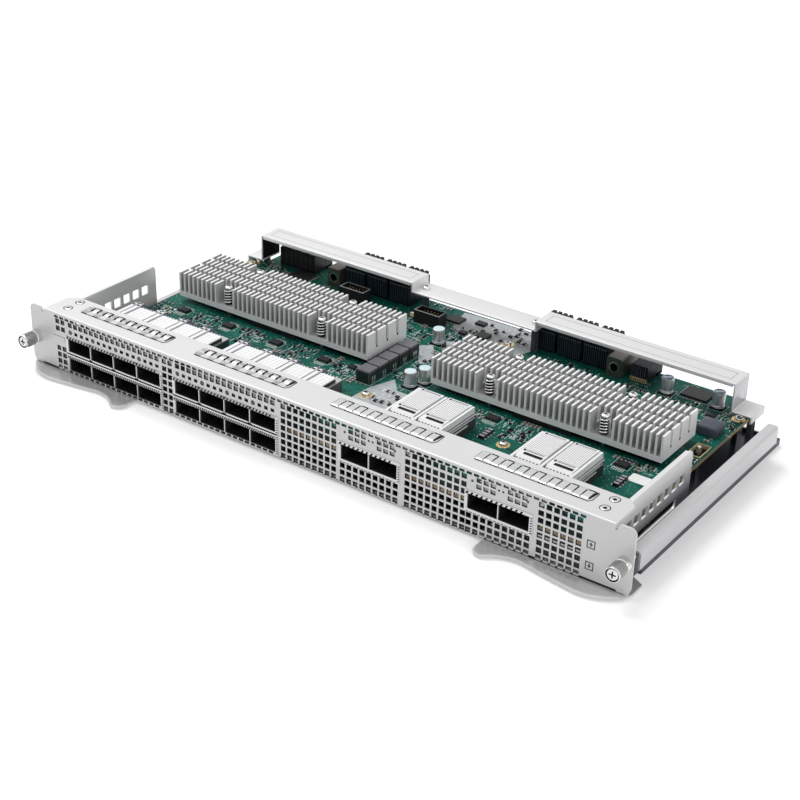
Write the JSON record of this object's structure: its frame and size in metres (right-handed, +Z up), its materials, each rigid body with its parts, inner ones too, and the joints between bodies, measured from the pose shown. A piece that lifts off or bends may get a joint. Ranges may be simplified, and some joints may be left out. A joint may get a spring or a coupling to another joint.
{
  "type": "network switch line card",
  "caption": "Sheet-metal plug-in card with optical port cages, a perforated front, finned heat sinks, rear backplane connectors, ejector levers and captive thumbscrews.",
  "frame": {"origin": "middle of the faceplate's front face, at the height of the tray's underside: the reference of the card slot", "axes": "+X to the right along the faceplate, +Y from the faceplate to the back, +Z up"},
  "size_m": [0.42, 0.2223, 0.0415],
  "materials": {
    "tray_steel": "plain zinc-plated sheet",
    "front_steel": "brushed stainless sheet",
    "bright_steel": "bright plated sheet",
    "polished_steel": "mirror-polished",
    "nickel": "nickel-plated, satin",
    "post_steel": "dark plated",
    "spring_wire": "dark drawn wire",
    "sink_aluminium": "clear anodised",
    "can_aluminium": "satin can",
    "guide_metal": "olive-grey cast metal",
    "cage_metal": "plated copper alloy sheet",
    "gasket_metal": "tin-plated spring sheet",
    "board_green": "green solder mask, semi-gloss",
    "chip_black": "moulded package",
    "pad_grey": "soft pad",
    "plug_navy": "moulded wafers",
    "plug_black": "moulded housing",
    "clear_plastic": "clear moulded acrylic",
    "gold": "gold-plated",
    "ferrite": "pressed powder core"
  },
  "bodies": {
    "card": {"backplane_connectors_left": "plug_navy", "backplane_connectors_right": "plug_navy", "beam_posts": "post_steel", "beam_screws": "nickel", "board_chips": "chip_black", "board_screws": "nickel", "box_headers": "plug_black", "cage_3": "cage_metal", "cage_4": "cage_metal", "cage_riders_3": "cage_metal", "cage_riders_4": "cage_metal", "capacitors": "can_aluminium", "circuit_board": "board_green", "faceplate": "front_steel", "flange_screws": "nickel", "gasket_strip_1": "gasket_metal", "gasket_strip_2": "gasket_metal", "gasket_strip_3": "gasket_metal", "gasket_strip_4": "gasket_metal", "guide_blocks": "guide_metal", "header_pins": "gold", "heat_sink_left": "sink_aluminium", "heat_sink_right": "sink_aluminium", "heat_sink_screws": "nickel", "heat_sink_springs": "spring_wire", "inductors": "ferrite", "large_inductor": "ferrite", "left_bracket": "front_steel", "lever_pivots": "polished_steel", "light_pipes_1": "clear_plastic", "light_pipes_2": "clear_plastic", "lower_cage_1": "cage_metal", "lower_cage_2": "cage_metal", "lower_port_connectors_1": "plug_black", "lower_port_connectors_2": "plug_black", "port_connectors_3": "plug_black", "port_connectors_4": "plug_black", "port_gasket_1": "gasket_metal", "port_gasket_2": "gasket_metal", "port_gasket_3": "gasket_metal", "port_gasket_4": "gasket_metal", "power_connector": "plug_black", "rear_beam": "bright_steel", "right_bracket": "front_steel", "signal_connector": "plug_black", "standoffs": "post_steel", "switch_chip_left": "chip_black", "switch_chip_right": "chip_black", "thermal_pads": "pad_grey", "thumbscrew_collars": "nickel", "tray": "tray_steel", "upper_cage_1": "cage_metal", "upper_cage_2": "cage_metal", "upper_port_connectors_1": "plug_black", "upper_port_connectors_2": "plug_black"},
    "left_lever": {"left_lever": "polished_steel"},
    "right_lever": {"right_lever": "polished_steel"},
    "left_thumbscrew": {"left_thumbscrew": "nickel"},
    "right_thumbscrew": {"right_thumbscrew": "nickel"}
  },
  "joints": [
    {"name": "right_lever_hinge", "type": "hinge", "parent": "card", "child": "right_lever", "pos_m": [0.198, 0.008, 0.0014], "axis": [0, 0, 1], "range_deg": [0, 70]},
    {"name": "left_lever_hinge", "type": "hinge", "parent": "card", "child": "left_lever", "pos_m": [-0.198, 0.008, 0.0014], "axis": [0, 0, -1], "range_deg": [0, 70]},
    {"name": "right_thumbscrew_spin", "type": "hinge", "parent": "card", "child": "right_thumbscrew", "pos_m": [0.2053, 0, 0.02], "axis": [0, 1, 0], "continuous": true},
    {"name": "left_thumbscrew_spin", "type": "hinge", "parent": "card", "child": "left_thumbscrew", "pos_m": [-0.2053, 0, 0.02], "axis": [0, 1, 0], "continuous": true}
  ]
}
